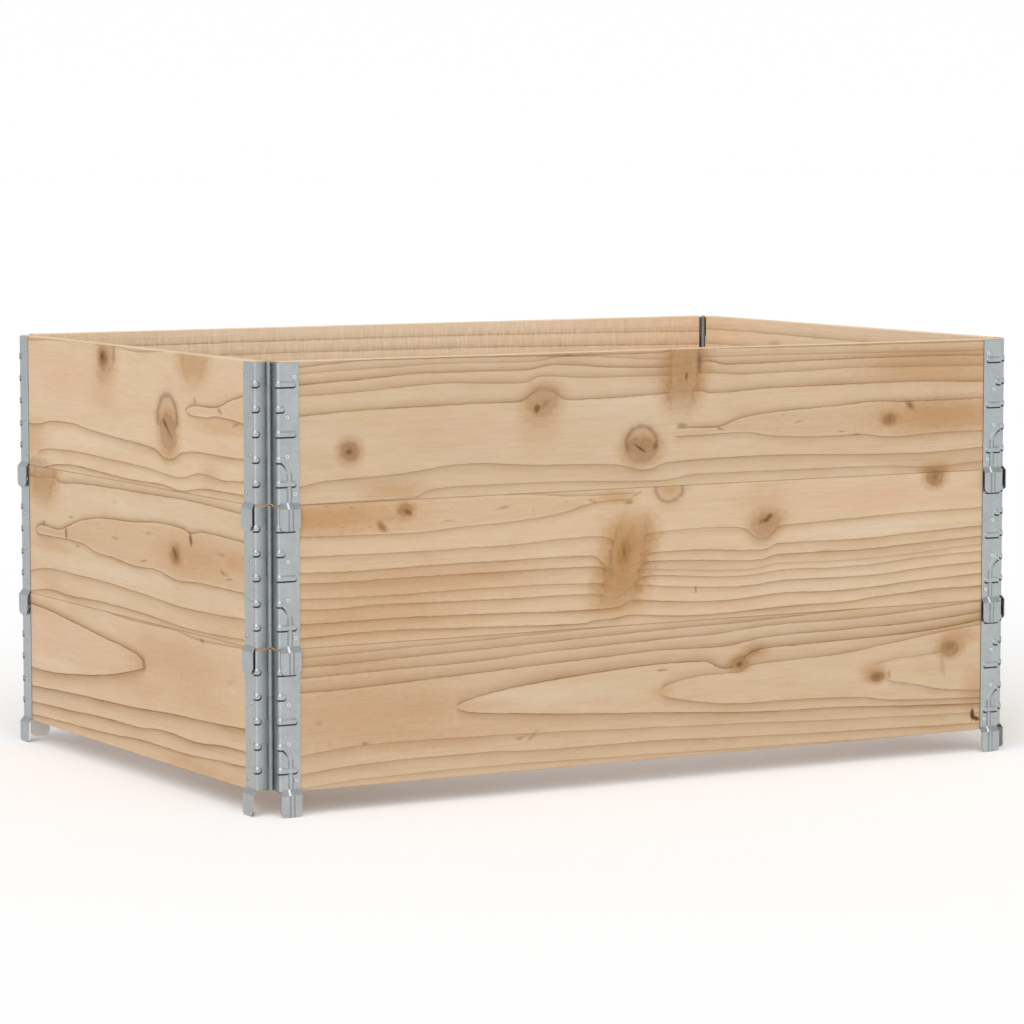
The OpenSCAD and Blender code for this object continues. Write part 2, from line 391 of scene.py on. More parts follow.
@dataclass
class Knot:
    """A knot on the outer face, with its half sizes and how far it leans along for each millimetre up.

    A loop is a ring with only its upper half. A spike is cut along its length, so its ends run out. It
    narrows upwards, or downwards for a negative taper.
    """

    kind: str
    along: float
    up: float
    half_along: float
    half_up: float
    dark: float = 1.0
    lean: float = 0.0
    taper: float = 0.55


@dataclass
class Dash:
    """A pith, crack or resin mark, with its half sizes and its slope."""

    along: float
    up: float
    half_along: float
    half_up: float
    dark: float
    slope: float = 0.0


@dataclass
class Tint:
    """A soft patch of colour, with its half sizes."""

    kind: str
    along: float
    up: float
    half_along: float
    half_up: float
    amount: float


@dataclass
class Wood:
    """What shows on one board, in millimetres along and up. The lens lies between two of its lines."""

    lines: list
    knots: list = field(default_factory=list)
    dashes: list = field(default_factory=list)
    tints: list = field(default_factory=list)
    lens: tuple = None
    lens_amount: float = 0.25
    grain: float = 1.0
    # tone scales a board's whole colour and holds painted light: the left boards are made lighter than the
    # front ones, and the top back and top right boards, whose inner faces show, lighter still.
    tone: float = 1.0
    saw: float = 0.04


def swept(fade, dark, up, rise, bow):
    """A line that rises evenly along a board and bows in the middle."""
    points = []
    for part in range(SWEPT_PARTS + 1):
        share = part / SWEPT_PARTS
        points.append((SWEPT_LENGTH * share, up + rise * share + 4 * bow * share * (1 - share)))
    return Line(fade, dark, tuple(points))


BOARDS = {
    "top_front": Wood(
        lines=[
            Line(-7, 0.5, ((60, 1), (208, 3), (230, 11), (300, 15), (450, 14), (610, 9), (665, 15),
                           (1000, 13), (1080, 9), (1165, 13))),
            Line(-12, 0.62, ((30, 24), (75, 31), (150, 34), (220, 39), (265, 44), (300, 45), (400, 39),
                             (545, 32), (562, 27), (580, 25), (615, 33), (660, 36), (780, 37), (900, 34),
                             (1060, 30), (1165, 34))),
            Line(-6, 0.6, ((600, 73), (640, 71), (740, 72), (800, 65), (900, 61), (940, 62), (1010, 56),
                           (1100, 59), (1165, 59)), start=628),
            Line(5, 0.72, ((600, 74), (640, 82), (692, 82), (745, 94), (800, 100), (900, 104), (980, 109),
                           (1030, 107), (1165, 107)), start=630),
            Line(9, 0.72, ((30, 120), (130, 125), (300, 128), (375, 129), (392, 137), (410, 143),
                           (430, 139), (455, 128), (520, 129), (615, 132), (668, 134), (690, 130),
                           (780, 134), (1000, 136), (1165, 133))),
            Line(10, 0.55, ((30, 147), (130, 151), (260, 158), (380, 155), (410, 163), (480, 159),
                            (615, 158), (680, 160), (750, 156), (950, 159), (1165, 156))),
            Line(7, 0.72, ((30, 163), (120, 167), (230, 173), (380, 172), (430, 178), (540, 171),
                           (615, 170), (680, 176), (720, 171), (1050, 173), (1165, 171))),
            Line(6, 0.42, ((30, 177), (150, 182), (260, 185), (390, 184), (450, 190), (540, 185),
                           (615, 181), (700, 182), (1165, 178))),
            Line(4, 0.6, ((30, 186), (150, 193), (600, 190), (640, 195), (760, 193), (1000, 192),
                          (1165, 191))),
        ],
        lens=(2, 3),
        knots=[
            Knot("solid", 108, 70, 14, 13, 0.85),
            Knot("core", 411, 128, 24, 20, 0.75, 0.2),
            Knot("loop", 573, 64, 25, 23, 0.95),
            Knot("core", 573, 53, 24, 17, 1.0),
            Knot("spike", 645, 170, 27, 78, 1.3, 0.12, -0.5),
            Knot("solid", 1037, 101, 5, 6, 0.9, -0.5),
            Knot("solid", 1000, 82, 12, 8, 0.85),
            Knot("solid", 1082, 0, 20, 9, 0.8),
        ],
        dashes=[
            Dash(107, 69, 5, 4, 0.6),
            Dash(402, 117, 6, 6, 0.75, 0.3),
            Dash(416, 124, 9, 5, 0.3, 0.5),
            Dash(571, 56, 12, 2.2, 0.85, -0.6),
            Dash(648, 155, 3, 8, 0.6),
            Dash(669, 176, 4, 18, 0.5),
            Dash(641, 86, 7, 3, 0.4),
            Dash(704, 79, 8, 2.5, 0.45, -0.3),
            Dash(840, 84, 10, 2, 0.3, 0.2),
            Dash(916, 67, 7, 1.5, 0.4),
            Dash(942, 62, 8, 2, 0.35),
        ],
        tints=[
            Tint("orange", 1090, 84, 150, 32, 0.85),
            Tint("warm", 175, 14, 70, 16, 0.75),
            Tint("warm", 405, 90, 45, 38, 0.45),
            Tint("warm", 1080, 160, 180, 38, 0.85),
            Tint("warm", 600, 166, 60, 30, 0.35),
            Tint("rose", 280, 95, 130, 28, 0.4),
            Tint("warm", 1110, 12, 120, 18, 0.55),
            Tint("pale", 560, 120, 140, 30, 0.5),
        ],
        tone=0.9,
    ),
    "middle_front": Wood(
        lines=[
            Line(-8, 0.72, ((30, 14), (150, 16), (300, 12), (480, 7), (495, 10), (530, 11), (552, 14),
                            (600, 11), (680, 7), (850, 12), (900, 11), (1000, 17), (1120, 22), (1165, 22))),
            Line(-8, 0.72, ((30, 33), (150, 33), (320, 30), (480, 26), (535, 27), (560, 35), (600, 32),
                            (700, 26), (830, 31), (900, 29), (1060, 36), (1165, 40))),
            Line(-8, 0.62, ((30, 53), (80, 51), (150, 53), (300, 50), (500, 47), (528, 41), (565, 56),
                            (620, 51), (740, 45), (830, 50), (950, 48), (1060, 54), (1165, 58))),
            Line(-6, 0.55, ((30, 67), (120, 65), (300, 66), (500, 63), (545, 52), (580, 69), (740, 60),
                            (830, 65), (920, 63), (1060, 70), (1165, 73))),
            Line(-4, 0.35, ((540, 55), (575, 78), (620, 76), (760, 69), (810, 75), (900, 73),
                            (1165, 84)), start=550),
            Line(-13, 0.7, ((30, 88), (120, 87), (300, 88), (500, 86), (555, 68), (582, 89), (660, 87),
                            (770, 81), (808, 88), (930, 87), (1060, 92), (1165, 96))),
            Line(-8, 0.62, ((30, 103), (120, 101), (270, 103), (490, 103), (530, 80), (572, 92), (590, 101),
                            (650, 102), (780, 96), (808, 104), (930, 103), (1060, 108), (1165, 112))),
            Line(-9, 0.55, ((30, 125), (150, 123), (350, 124), (490, 129), (520, 126), (545, 105),
                            (585, 128), (700, 132), (745, 129), (780, 112), (808, 129), (850, 131),
                            (1000, 136), (1165, 139))),
            Line(-6, 0.55, ((30, 152), (200, 149), (280, 153), (380, 158), (440, 165), (500, 178),
                            (570, 180)), end=560),
            Line(5, 0.5, ((30, 197), (380, 194), (470, 188), (570, 187)), start=350, end=565),
        ],
        lens=(8, 9),
        knots=[
            Knot("spike", 548, 92, 31, 76, 1.35, 0.24, 0.3),
            Knot("core", 545, 104, 9, 16, 0.5, 0.2),
            Knot("solid", 157, 160, 5, 6, 0.9, -0.5),
            Knot("ring", 620, 193, 23, 20, 0.85),
            Knot("core", 784, 132, 22, 17, 0.85, 0.2),
            Knot("solid", 1083, 189, 15, 13, 0.9),
            Knot("solid", 194, 181, 11, 9, 0.75),
        ],
        dashes=[
            Dash(545, 106, 3.5, 10, 0.45),
            Dash(524, 86, 5, 20, 0.2),
            Dash(789, 142, 7, 6, 0.8, 0.5),
            Dash(778, 137, 7, 4, 0.45, 0.5),
            Dash(197, 178, 8, 4, 0.55, -0.4),
            Dash(665, 45, 2, 7, 0.5),
            Dash(348, 177, 12, 2, 0.3, 0.15),
            Dash(553, 175, 9, 3, 0.45),
            Dash(492, 180, 8, 2.5, 0.3, -0.3),
            Dash(566, 186, 8, 2.5, 0.35, 0.4),
            Dash(890, 88, 18, 3, 0.22),
            Dash(262, 163, 12, 2, 0.22),
        ],
        tints=[
            Tint("orange", 70, 176, 170, 30, 0.8),
            Tint("warm", 528, 184, 44, 10, 0.9),
            Tint("warm", 620, 193, 24, 20, 0.8),
            Tint("warm", 200, 80, 260, 30, 0.65),
            Tint("warm", 120, 30, 240, 40, 0.65),
            Tint("warm", 545, 140, 60, 36, 0.5),
            Tint("warm", 785, 160, 60, 34, 0.5),
            Tint("rose", 960, 165, 170, 26, 0.5),
            Tint("warm", 530, 40, 60, 44, 0.55),
            Tint("pale", 980, 118, 180, 18, 0.6),
            Tint("pale", 880, 45, 260, 36, 0.4),
        ],
        tone=0.95,
    ),
    "bottom_front": Wood(
        lines=[
            Line(-5, 0.42, ((30, 3), (130, 9), (300, 11), (600, 7), (900, 2))),
            Line(-12, 0.55, ((30, 22), (100, 28), (250, 31), (330, 31), (380, 28), (600, 26), (800, 19),
                             (1165, 10))),
            Line(-12, 0.5, ((30, 48), (150, 56), (400, 52), (600, 45), (700, 42), (900, 34), (1165, 26))),
            Line(-13, 0.8, ((270, 98), (280, 93), (300, 88), (370, 82), (500, 72), (620, 65), (800, 54),
                            (900, 52), (1000, 47), (1165, 40)), start=272),
            Line(-10, 0.62, ((606, 94), (614, 89), (650, 81), (720, 71), (870, 68), (950, 64), (1000, 57),
                             (1165, 49)), start=606),
            Line(-7, 0.6, ((990, 92), (1006, 84), (1050, 76), (1100, 66), (1165, 59)), start=1000),
            Line(7, 0.42, ((972, 98), (986, 112), (1040, 118), (1085, 120),
                           (1110, 128)), start=980, end=1100),
            Line(12, 0.62, ((606, 98), (614, 104), (650, 112), (700, 115), (740, 115), (760, 124),
                            (850, 128), (900, 130), (1000, 140), (1100, 152), (1165, 158)), start=606),
            Line(16, 0.85, ((270, 98), (282, 103), (310, 110), (400, 123), (500, 131), (620, 136),
                            (680, 135), (720, 122), (740, 130), (770, 145), (850, 149), (1000, 152),
                            (1100, 158), (1165, 165)), start=272),
            Line(14, 0.7, ((30, 134), (100, 135), (200, 139), (400, 148), (500, 152), (620, 156),
                           (700, 155), (780, 163), (920, 166), (1050, 169), (1165, 177))),
            Line(11, 0.62, ((30, 154), (150, 157), (300, 160), (400, 165), (600, 172), (700, 174),
                            (780, 180), (950, 182), (1060, 187), (1165, 193))),
            Line(10, 0.6, ((30, 169), (200, 173), (400, 179), (600, 185), (780, 189), (900, 194))),
            Line(8, 0.45, ((30, 182), (200, 186), (450, 193), (600, 196))),
        ],
        knots=[
            Knot("solid", 741, 128, 14, 9, 0.85),
            Knot("solid", 982, 92, 12, 7, 0.95),
            Knot("solid", 1112, 126, 17, 11, 0.8),
        ],
        dashes=[
            Dash(739, 127, 5, 4, 0.6),
            Dash(764, 142, 16, 5, 0.3, 0.45),
            Dash(1004, 92, 3, 7, 0.3),
            Dash(1155, 26, 4, 9, 1.0),
            Dash(1162, 18, 9, 4.5, 1.0, -0.4),
            Dash(608, 127, 11, 1.5, 0.55),
            Dash(376, 47, 9, 2.5, 0.32, 0.3),
            Dash(396, 49, 9, 4, 0.3, 0.8),
            Dash(130, 58, 5, 2.5, 0.35),
            Dash(59, 91, 6, 4, 0.18),
            Dash(1100, 100, 6, 12, 0.22, -0.8),
        ],
        tints=[
            Tint("warm", 120, 100, 210, 70, 0.65),
            Tint("warm", 235, 102, 60, 26, 0.45),
            Tint("orange", 1160, 60, 30, 40, 0.45),
            Tint("orange", 1128, 142, 48, 20, 0.6),
            Tint("orange", 768, 144, 30, 16, 0.6),
            Tint("orange", 975, 100, 30, 18, 0.6),
            Tint("warm", 330, 98, 60, 9, 0.5),
            Tint("warm", 610, 97, 26, 12, 0.6),
            Tint("warm", 300, 62, 260, 22, 0.35),
            Tint("warm", 100, 178, 170, 24, 0.4),
            Tint("pale", 420, 105, 140, 20, 0.5),
            Tint("pale", 700, 168, 300, 20, 0.3),
            Tint("rose", 690, 92, 70, 18, 0.4),
        ],
        tone=0.89,
    ),
    "top_left": Wood(
        lines=[
            Line(-6, 0.6, ((70, -2), (130, 7), (200, 11), (280, 9), (400, 5), (500, 6), (560, 2), (620, 8),
                           (660, 11), (770, 11)), start=70),
            Line(-7, 0.5, ((60, 20), (80, 26), (150, 31), (200, 32), (300, 30), (450, 26), (555, 20),
                           (640, 31), (700, 27), (770, 30)), start=64),
            Line(-8, 0.55, ((25, 63), (60, 64), (120, 72), (180, 73), (260, 67), (350, 62), (480, 55),
                            (526, 44), (575, 56), (640, 60), (770, 60))),
            Line(-5, 0.6, ((585, 116), (600, 110), (640, 109), (690, 113), (770, 109)), start=582),
            Line(4, 0.62, ((585, 117), (605, 123), (680, 126), (720, 136), (770, 147)), start=582),
            Line(4, 0.4, ((25, 189), (250, 195), (360, 193), (410, 190), (520, 195))),
        ],
        lens=(3, 4),
        knots=[
            Knot("core", 318, 178, 27, 24, 0.62),
            Knot("solid", 304, 176, 13, 11, 0.8),
            Knot("spike", 608, 194, 38, 48, 0.85, 0.0, -0.7),
            Knot("loop", 523, 101, 32, 33, 1.0),
            Knot("core", 526, 82, 26, 24, 1.0, -0.1),
        ],
        dashes=[
            Dash(303, 177, 8, 6, 0.6),
            Dash(342, 181, 5, 14, 0.35, 0.5),
            Dash(296, 150, 16, 16, 0.16),
            Dash(516, 93, 8, 6, 0.75, -0.5),
            Dash(528, 82, 14, 2.5, 0.6, -0.9),
            Dash(613, 131, 5, 6, 0.4),
            Dash(692, 121, 8, 4, 0.5, -0.4),
            Dash(741, 105, 10, 2.5, 0.4, 0.2),
            Dash(714, 145, 8, 2.5, 0.22, 0.2),
            Dash(60, 6, 60, 8, 0.3),
        ],
        tints=[
            Tint("warm", 300, 140, 60, 50, 0.5),
            Tint("rose", 160, 140, 180, 50, 0.55),
            Tint("warm", 690, 98, 110, 14, 0.65),
            Tint("warm", 605, 165, 60, 40, 0.4),
            Tint("warm", 50, 40, 60, 40, 0.6),
            Tint("warm", 660, 30, 40, 26, 0.45),
            Tint("warm", 525, 50, 50, 16, 0.4),
            Tint("pale", 260, 50, 180, 16, 0.5),
        ],
        grain=1.3,
        tone=1.09,
    ),
    "middle_left": Wood(
        lines=[
            Line(-7, 0.5, ((25, 2), (80, 10), (120, 13), (180, 11), (300, 13), (450, 11), (600, 5),
                           (770, 9))),
            Line(-8, 0.5, ((25, 34), (90, 43), (120, 44), (250, 44), (400, 40), (600, 33), (770, 37))),
            Line(-6, 0.55, ((50, 99), (70, 93), (170, 94), (230, 92), (280, 83), (330, 82), (420, 77),
                            (470, 78), (560, 70), (630, 73), (770, 73)), start=50),
            Line(4, 0.62, ((50, 99), (75, 108), (130, 106), (175, 115), (225, 127), (300, 136), (400, 140),
                           (520, 146), (575, 144), (594, 140), (640, 145), (770, 142)), start=50),
            Line(7, 0.55, ((25, 178), (60, 178), (120, 182), (145, 177), (230, 181), (350, 183), (580, 185),
                           (770, 180))),
        ],
        lens=(2, 3),
        lens_amount=0.35,
        knots=[
            Knot("spike", 86, 190, 38, 58, 0.95, 0.25, -0.6),
            Knot("solid", 547, 105, 15, 12, 0.85),
        ],
        dashes=[
            Dash(546, 107, 8, 7, 0.6, -0.6),
            Dash(597, 131, 6, 10, 0.8, -0.6),
            Dash(82, 111, 8, 4, 0.4),
            Dash(165, 103, 6, 8, 0.6, -0.4),
            Dash(184, 128, 9, 2.5, 0.35),
            Dash(206, 87, 8, 2.5, 0.4),
            Dash(342, 111, 14, 2.5, 0.3),
            Dash(440, 87, 9, 1.8, 0.5, 0.12),
            Dash(455, 128, 9, 2.5, 0.32),
            Dash(700, 94, 11, 3, 0.35, -0.3),
            Dash(718, 87, 9, 1.8, 0.4, 0.12),
            Dash(695, 119, 12, 3, 0.3),
            Dash(342, 163, 9, 3.5, 0.16),
        ],
        tints=[
            Tint("orange", 600, 106, 150, 36, 0.55),
            Tint("orange", 740, 112, 60, 20, 0.5),
            Tint("warm", 110, 80, 100, 14, 0.6),
            Tint("warm", 85, 165, 70, 40, 0.5),
            Tint("warm", 110, 25, 50, 24, 0.4),
            Tint("warm", 700, 20, 120, 24, 0.3),
            Tint("pale", 330, 60, 260, 18, 0.5),
            Tint("pale", 350, 160, 260, 16, 0.35),
        ],
        grain=1.35,
        tone=1.04,
    ),
    "bottom_left": Wood(
        lines=[
            Line(-9, 0.6, ((25, 9), (150, 12), (330, 17), (440, 22), (560, 22), (700, 27), (770, 30))),
            Line(-12, 0.68, ((25, 28), (170, 33), (330, 38), (400, 38), (510, 45), (600, 43), (720, 50),
                             (770, 50))),
            Line(-17, 0.72, ((25, 53), (200, 60), (400, 66), (560, 74), (620, 75), (770, 82))),
            Line(-18, 0.75, ((25, 81), (60, 81), (200, 90), (300, 101), (380, 115), (430, 125), (446, 132)),
                 end=444),
            Line(9, 0.72, ((25, 179), (80, 177), (200, 166), (300, 156), (380, 149), (410, 145), (434, 138),
                           (446, 132)), end=444),
            Line(4, 0.42, ((300, 196), (400, 192), (520, 193), (630, 188), (770, 192)), start=300),
        ],
        dashes=[
            Dash(631, 188, 8, 3, 0.5),
            Dash(720, 140, 14, 4, 0.14, 0.3),
            Dash(436, 133, 9, 9, 0.4, -0.6),
        ],
        tints=[
            Tint("warm", 560, 150, 220, 46, 0.6),
            Tint("warm", 420, 100, 130, 26, 0.4),
            Tint("warm", 640, 100, 160, 30, 0.45),
            Tint("orange", 620, 8, 180, 12, 0.4),
            Tint("warm", 430, 135, 60, 18, 0.6),
            Tint("rose", 180, 130, 180, 34, 0.4),
            Tint("pale", 120, 96, 120, 12, 0.5),
            Tint("pale", 200, 48, 200, 12, 0.4),
        ],
        grain=1.35,
        tone=1.04,
    ),
    "top_back": Wood(
        lines=[
            swept(-9, 0.55, 30, 8, 3),
            swept(-11, 0.6, 58, 10, 5),
            swept(-8, 0.5, 84, 9, 4),
            swept(12, 0.5, 128, 4, 6),
            swept(9, 0.55, 154, 2, 6),
            swept(7, 0.5, 176, 1, 4),
        ],
        knots=[Knot("solid", 300, 118, 15, 12), Knot("core", 822, 64, 18, 14)],
        tints=[Tint("warm", 300, 110, 90, 50, 0.5), Tint("pale", 600, 190, 800, 80, 0.9)],
        tone=1.2,
        saw=0.8,
    ),
    "middle_back": Wood(
        lines=[
            swept(-8, 0.5, 22, -6, 2),
            swept(-10, 0.6, 50, -8, 3),
            swept(-12, 0.55, 86, -9, 4),
            swept(10, 0.6, 120, 8, 4),
            swept(8, 0.5, 148, 9, 2),
            swept(7, 0.5, 170, 8, 1),
        ],
        knots=[Knot("core", 424, 72, 20, 16), Knot("solid", 980, 146, 13, 11)],
        tints=[Tint("warm", 430, 80, 90, 40, 0.5), Tint("rose", 800, 110, 200, 30, 0.4)],
        saw=0.3,
    ),
    "bottom_back": Wood(
        lines=[
            swept(-9, 0.55, 26, 4, -3),
            swept(-9, 0.6, 52, 5, -4),
            swept(-10, 0.5, 80, 6, -5),
            swept(-12, 0.6, 116, 6, -5),
            swept(-9, 0.5, 150, 4, -4),
            swept(-7, 0.5, 178, 3, -2),
        ],
        knots=[Knot("ring", 650, 112, 18, 15), Knot("core", 650, 106, 14, 10)],
        tints=[Tint("warm", 640, 112, 110, 44, 0.5), Tint("warm", 150, 50, 160, 40, 0.4)],
        saw=0.3,
    ),
    "top_right": Wood(
        lines=[
            swept(-9, 0.5, 34, 12, 2),
            swept(-12, 0.55, 66, 14, 4),
            swept(11, 0.55, 118, 6, 5),
            swept(9, 0.5, 150, 4, 5),
            swept(7, 0.5, 176, 3, 3),
        ],
        knots=[Knot("solid", 262, 64, 15, 12), Knot("core", 590, 140, 17, 14)],
        tints=[Tint("warm", 270, 70, 80, 40, 0.5), Tint("pale", 400, 190, 600, 80, 0.8)],
        tone=1.34,
    ),
    "middle_right": Wood(
        lines=[
            swept(-8, 0.55, 26, -5, -2),
            swept(-10, 0.55, 54, -4, -3),
            swept(-10, 0.5, 84, -3, -4),
            swept(-12, 0.6, 120, 2, -4),
            swept(-9, 0.5, 156, 5, -2),
        ],
        knots=[Knot("core", 556, 136, 20, 16)],
        tints=[Tint("warm", 560, 130, 100, 46, 0.5), Tint("pale", 220, 100, 160, 40, 0.4)],
    ),
    "bottom_right": Wood(
        lines=[
            swept(-9, 0.55, 30, 7, 3),
            swept(-12, 0.6, 64, 8, 4),
            swept(14, 0.6, 112, 4, 6),
            swept(11, 0.5, 146, 3, 5),
            swept(8, 0.5, 172, 2, 4),
        ],
        knots=[Knot("ring", 402, 88, 18, 15), Knot("solid", 402, 86, 10, 8)],
        tints=[Tint("warm", 400, 92, 100, 44, 0.5), Tint("warm", 640, 150, 120, 34, 0.4)],
    ),
}

# The axes that run along a side's board and in from its outer face, and which way each runs.
BOARD_AXES = {
    "front": ((0, 1), (1, 1)),
    "right": ((1, 1), (0, -1)),
    "back": ((0, -1), (1, -1)),
    "left": ((1, -1), (0, 1)),
}


def board_coordinates(graph, node, side):
    """Millimetres along from the left end, up from the lower edge and in from the outer face of a board.

    The board's length comes fourth.
    """
    low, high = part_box(node)
    place = graph.position()

    def measured(axis, way):
        if way > 0:
            return place[axis] - low[axis] * MM_PER_M
        return high[axis] * MM_PER_M - place[axis]

    along_axis, in_axis = BOARD_AXES[side]
    length = (high[along_axis[0]] - low[along_axis[0]]) * MM_PER_M
    return measured(*along_axis), measured(2, 1), measured(*in_axis), length


class Board:
    """One board in its material: places on it in millimetres, and the unevenness that several marks share."""

    def __init__(self, graph, level, side):
        name = f"{level}_{side}"
        self.graph = graph
        self.level = level
        self.wood = BOARDS[name]
        self.seed = SEED_STEP * (LEVELS.index(level) * len(SIDES) + SIDES.index(side))
        self.along, self.up, self.deep, self.length = board_coordinates(graph, name + "_board", side)
        self.drift = self.noise(DRIFT, self.seed)
        self.uneven = self.noise(UNEVEN, self.seed)
        self.mottle = self.noise(MOTTLE, self.seed)
        self.saw = self.noise(SAW, self.seed)
        self.fibre = self.noise(FIBRE, 0, self.seed)

    def noise(self, kind, shift_along, shift_up=0):
        """Noise of one kind, shifted along or up so that no two boards are alike."""
        along, up, deep = kind.size
        parts = (self.along / along + shift_along, self.up / up + shift_up, self.deep / deep)
        return self.graph.noise(parts, kind.detail, kind.roughness)

    def near_ends(self, place, length, start, full):
        """1 at either end of a length and 0 from start millimetres inwards."""
        return self.graph.smooth(place, start, full) + self.graph.smooth(place, length - start, length - full)


def above_line(board, grain_up, line):
    """How far a point is above a line."""
    points = [(spot / LINE_LENGTH, (height + LINE_BELOW) / LINE_SPAN) for spot, height in line.points]
    height = board.graph.curve(board.along / LINE_LENGTH, points) * LINE_SPAN - LINE_BELOW
    return grain_up - height


def above_lines(board):
    """How far a point is above each of the board's lines, which are ragged and lean with the depth."""
    ragged = board.noise(RAGGED, board.seed)
    lift = ragged * RAGGED_LIFT + board.drift * DRIFT_LIFT
    grain_up = board.up + lift + board.deep * DEEP_RISE
    return [above_line(board, grain_up, line) for line in board.wood.lines]


def line_tone(board, above, line):
    """How dark a line makes the wood: sharp on one side and fading on the other."""
    graph = board.graph
    off = above if line.fade > 0 else above * -1
    fade = abs(line.fade)
    stops = []
    for place, share, level in LINE_MARKS:
        stops.append(((place + fade * share + LINE_LEAD) / LINE_REACH, level * line.dark))
    tone = graph.profile(off / LINE_REACH + LINE_LEAD / LINE_REACH, stops)
    if line.start > 0:
        tone = tone * graph.smooth(board.along, line.start - LINE_FADE_OUT, line.start + LINE_FADE_IN)
    if line.end < LINE_LENGTH:
        tone = tone * graph.smooth(board.along, line.end + LINE_FADE_OUT, line.end - LINE_FADE_IN)
    return tone


def grain_tone(board, aboves):
    """How dark all the lines of a board make its wood."""
    late = 0.0
    for above, line in zip(aboves, board.wood.lines):
        late = line_tone(board, above, line) + late
    return late * (board.drift * LINE_DRIFT + board.mottle * LINE_MOTTLE + LINE_LEVEL) * board.wood.grain


def inside_lens(board, aboves):
    """1 between the two lines round a board's lens, and 0 on a board without one."""
    if not board.wood.lens:
        return 0.0
    lower, upper = board.wood.lens
    over_lower = board.graph.smooth(aboves[lower], 0, LENS_EDGE)
    return over_lower * board.graph.smooth(aboves[upper], 0, -LENS_EDGE)


def faint_tone(board, inside):
    """How dark faint streaks and flecks make the wood. A lens has more flecks."""
    streak = board.noise(STREAK, board.seed, board.drift)
    fleck = board.noise(FLECK, board.seed)
    streaks = board.graph.smooth(streak, *STREAK_EDGE) * STREAK_SHARE
    flecks = board.graph.smooth(fleck, *FLECK_EDGE) * FLECK_SHARE
    return streaks + flecks * (inside * LENS_FLECKS + 1)


def reach_from(board, spot, lean=0.0, slope=0.0):
    """How far a point is from the middle of a spot, 1 at its edge."""
    across = board.along - spot.along
    rise = board.up - spot.up
    if lean:
        across = across - rise * lean
    if slope:
        rise = rise - across * slope
    across = across / spot.half_along
    rise = rise / spot.half_up
    return board.graph.root(across * across + rise * rise)


def spike_reach(board, knot):
    """How far a point is from a spike's middle line, 1 at its edge, and how clearly the spike shows there."""
    graph = board.graph
    lift = board.up - knot.up
    rise = lift / knot.half_up
    across = (board.along - knot.along - lift * knot.lean) / knot.half_along
    tip = graph.math("MAXIMUM", rise * math.copysign(1, knot.taper), 0.0)
    reach = graph.math("ABSOLUTE", across) + rise * rise * SPIKE_ROUNDING + tip * tip * abs(knot.taper)
    return reach, graph.smooth(graph.math("ABSOLUTE", rise), *SPIKE_ENDS) * knot.dark


def knot_reach(board, knot):
    """How far a point is from a knot's middle, 1 at its edge, and how clearly the knot shows there."""
    if knot.kind == "spike":
        return spike_reach(board, knot)
    reach = reach_from(board, knot, lean=knot.lean)
    if knot.kind == "loop":
        return reach, board.graph.smooth(board.up - knot.up, *LOOP_FADE) * knot.dark
    return reach, knot.dark


def knot_tones(board):
    """How dark the knots are, how strong their halos are, and how much they hide the lines."""
    graph = board.graph
    ripple = board.noise(RIPPLE, board.seed) * RIPPLE_SHARE + RIPPLE_LEVEL
    dark = 0.0
    halo = 0.0
    hidden = 0.0
    for knot in board.wood.knots:
        kind = KNOT_KINDS[knot.kind]
        reach, shown = knot_reach(board, knot)
        reach = reach + board.uneven * kind.uneven
        dark = graph.profile(reach / KNOT_REACH, kind.tones) * (ripple * shown) + dark
        halo = graph.smooth(reach, *HALO_EDGE) * ripple * shown * kind.halo + halo
        hidden = graph.smooth(reach, *HIDING_EDGE) * shown * kind.hides + hidden
    return dark, halo, hidden


def crack_tone(board):
    """How dark the piths, cracks and resin marks are."""
    cracks = 0.0
    for dash in board.wood.dashes:
        reach = reach_from(board, dash, slope=dash.slope) + board.uneven * CRACK_UNEVEN
        cracks = board.graph.smooth(reach, *CRACK_EDGE) * dash.dark + cracks
    return cracks


def ground_colour(board):
    """The colour of the wood between its marks, with soft patches."""
    graph = board.graph
    hue = board.noise(HUE, board.seed)
    colour = graph.blend(graph.smooth(board.drift, *HEART_EDGE) * DRIFT_SHARE, EARLYWOOD, HEARTWOOD)
    colour = graph.blend(graph.smooth(board.drift, *PALE_EDGE) * DRIFT_SHARE, colour, PALEWOOD)
    colour = graph.blend(graph.smooth(hue, *ROSE_EDGE) * HUE_SHARE, colour, TINTS["rose"])
    colour = graph.blend(graph.smooth(hue, *STRAW_EDGE) * HUE_SHARE, colour, STRAWWOOD)
    for tint in board.wood.tints:
        reach = reach_from(board, tint) + board.uneven * TINT_UNEVEN
        colour = graph.blend(graph.smooth(reach, *TINT_EDGE) * tint.amount, colour, TINTS[tint.kind])
    return colour


def surface_light(board, late):
    """How much light the wood gives back, with its fibres, fine grit and saw marks, times the board's tone,
    which holds painted light.
    """
    grit = board.noise(GRIT, board.seed)
    sawn = board.saw * (late + SAW_BETWEEN_LINES) * board.wood.saw
    fine = board.fibre * FIBRE_LIGHT + board.mottle * MOTTLE_LIGHT + grit * GRIT_LIGHT
    return (fine + sawn + 1) * board.wood.tone


